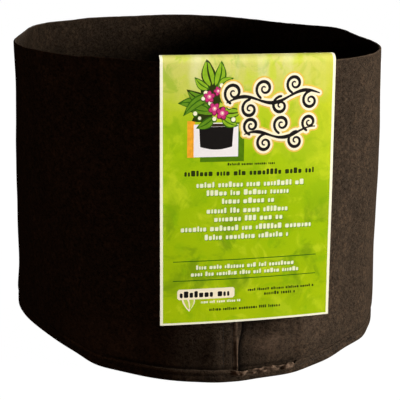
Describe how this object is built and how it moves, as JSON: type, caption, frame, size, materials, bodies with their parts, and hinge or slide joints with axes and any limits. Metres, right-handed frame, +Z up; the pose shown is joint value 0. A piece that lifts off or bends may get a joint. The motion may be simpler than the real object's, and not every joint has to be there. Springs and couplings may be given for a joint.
{
  "type": "fabric grow bag",
  "caption": "Round open-topped plant bag of thick black felt with a sewn base and lapped side seam, and a folded card label hung over its rim.",
  "frame": {"origin": "on the ground, under the middle of the bag's bounding box", "axes": "+Z up, -Y towards the front, where the label hangs, +X to the right of somebody looking at the label"},
  "size_m": [0.4722, 0.4854, 0.3657],
  "materials": {
    "wall_felt": "matte",
    "base_felt": "matte",
    "thread": "matte",
    "printed_card": "satin"
  },
  "bodies": {
    "bag": {"wall_panel": "wall_felt", "base_panel": "base_felt", "side_seam_needle_thread_1": "thread", "side_seam_bobbin_thread_1": "thread", "side_seam_needle_thread_2": "thread", "side_seam_bobbin_thread_2": "thread", "base_seam_needle_thread": "thread", "base_seam_bobbin_thread": "thread"},
    "label": {"label_card": "printed_card"}
  },
  "joints": [
    {"name": "label_lift", "type": "slide", "parent": "bag", "child": "label", "axis": [0, 0, 1], "range_m": [0, 0.31]}
  ]
}
